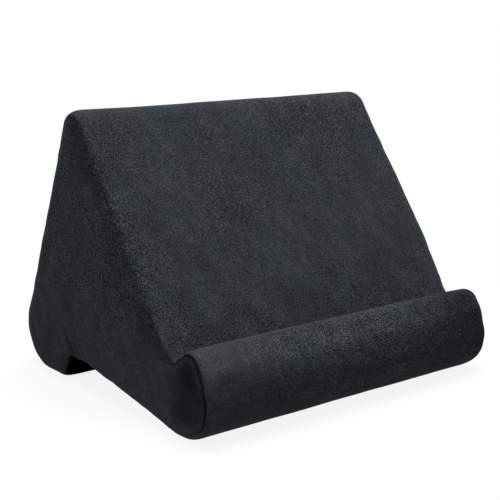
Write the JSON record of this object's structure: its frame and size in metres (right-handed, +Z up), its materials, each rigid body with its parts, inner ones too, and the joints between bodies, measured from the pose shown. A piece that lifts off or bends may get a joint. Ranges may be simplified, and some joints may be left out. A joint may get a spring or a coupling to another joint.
{
  "type": "tablet cushion stand",
  "caption": "Soft wedge cushion that stands on a table or lap: a tablet leans on its sloped face with its lower edge in the groove behind the front roll.",
  "frame": {"origin": "middle of the footprint, on the surface that the stand rests on", "axes": "+X along the width (to the right seen from the front), +Y to the back, +Z up; the front roll is towards -Y"},
  "size_m": [0.29, 0.2559, 0.217],
  "materials": {
    "foam": "open-cell polyurethane foam, pale grey, matte",
    "suede_strip": "charcoal microsuede with a fine pebbled grain and a soft sheen",
    "suede_panel": "charcoal microsuede, brushed nap, matte"
  },
  "bodies": {
    "root": {"foam_core": "foam", "cover_face_back_strip": "suede_strip", "cover_roll_base_strip": "suede_strip", "cover_left_panel": "suede_panel", "cover_right_panel": "suede_panel"}
  },
  "joints": []
}
